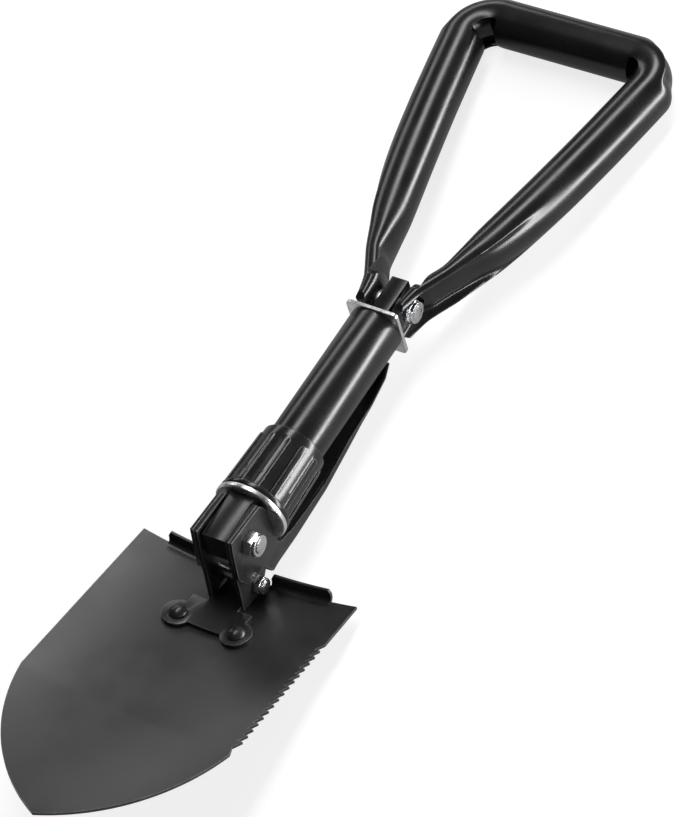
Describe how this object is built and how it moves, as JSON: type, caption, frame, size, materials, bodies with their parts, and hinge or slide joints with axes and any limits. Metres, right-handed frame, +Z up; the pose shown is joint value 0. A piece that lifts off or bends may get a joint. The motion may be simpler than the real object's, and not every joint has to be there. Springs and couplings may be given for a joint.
{
  "type": "folding camp shovel",
  "caption": "Folding steel camp shovel with a dished saw-edged blade, foot treads, swinging pick, screw-down lock collar and bent-tube D handle that folds over the shaft.",
  "frame": {"origin": "on the ground plane under the middle of the open shovel's bounding box, the shovel lying hollow side up on the blade's back and the grip", "axes": "+X along the shovel from the blade's point to the grip, +Y towards the plain side of the blade, +Z up out of the blade's hollow face"},
  "size_m": [0.5899, 0.1516, 0.0648],
  "materials": {
    "black_paint": "satin black stove enamel over steel",
    "zinc": "bright zinc-plated steel",
    "steel": "plain bright steel",
    "collar_black": "moulded nylon, satin",
    "nylon": "natural nylon"
  },
  "bodies": {
    "core": {"link_bar": "black_paint", "tongue": "black_paint", "core_pins": "steel", "hinge_bolt": "zinc", "hinge_nut": "zinc", "hinge_nut_insert": "nylon", "hinge_washers": "steel", "handle_spacers": "steel"},
    "sleeve": {"shaft_tube": "black_paint", "lock_plate": "zinc"},
    "ring": {"collar_ring": "zinc"},
    "collar": {"lock_collar": "collar_black"},
    "blade": {"blade": "black_paint", "blade_bracket": "black_paint", "bracket_rivets": "black_paint", "stop_bolt": "zinc", "stop_nut": "zinc"},
    "pick": {"pick": "black_paint"},
    "handle": {"handle": "black_paint", "handle_bolt": "zinc", "handle_nut": "zinc", "handle_nut_insert": "nylon"}
  },
  "joints": [
    {"name": "blade_fold", "type": "hinge", "parent": "core", "child": "blade", "pos_m": [-0.10289, 0, 0.0466], "axis": [0, 1, 0], "range_deg": [0, 168]},
    {"name": "pick_swing", "type": "hinge", "parent": "core", "child": "pick", "pos_m": [-0.10289, 0, 0.0466], "axis": [0, 1, 0], "range_deg": [0, 8]},
    {"name": "handle_fold", "type": "hinge", "parent": "core", "child": "handle", "pos_m": [0.07061, 0, 0.0292], "axis": [0, -1, 0], "range_deg": [0, 180]},
    {"name": "sleeve_drop", "type": "slide", "parent": "core", "child": "sleeve", "axis": [-0.9975, 0, 0.0712], "range_m": [0, 0.004]},
    {"name": "ring_rise", "type": "slide", "parent": "core", "child": "ring", "axis": [0.9975, 0, -0.0712], "range_m": [0, 0.003]},
    {"name": "collar_turn", "type": "hinge", "parent": "ring", "child": "collar", "pos_m": [-0.06335, 0, 0.03877], "axis": [0.9975, 0, -0.0712], "range_deg": [0, 720]}
  ],
  "couplings": [
    {"joint": "ring_rise", "follows": "sleeve_drop", "ratio": 0.75},
    {"joint": "collar_turn", "follows": "sleeve_drop", "rad_per_m": 3141.6}
  ]
}
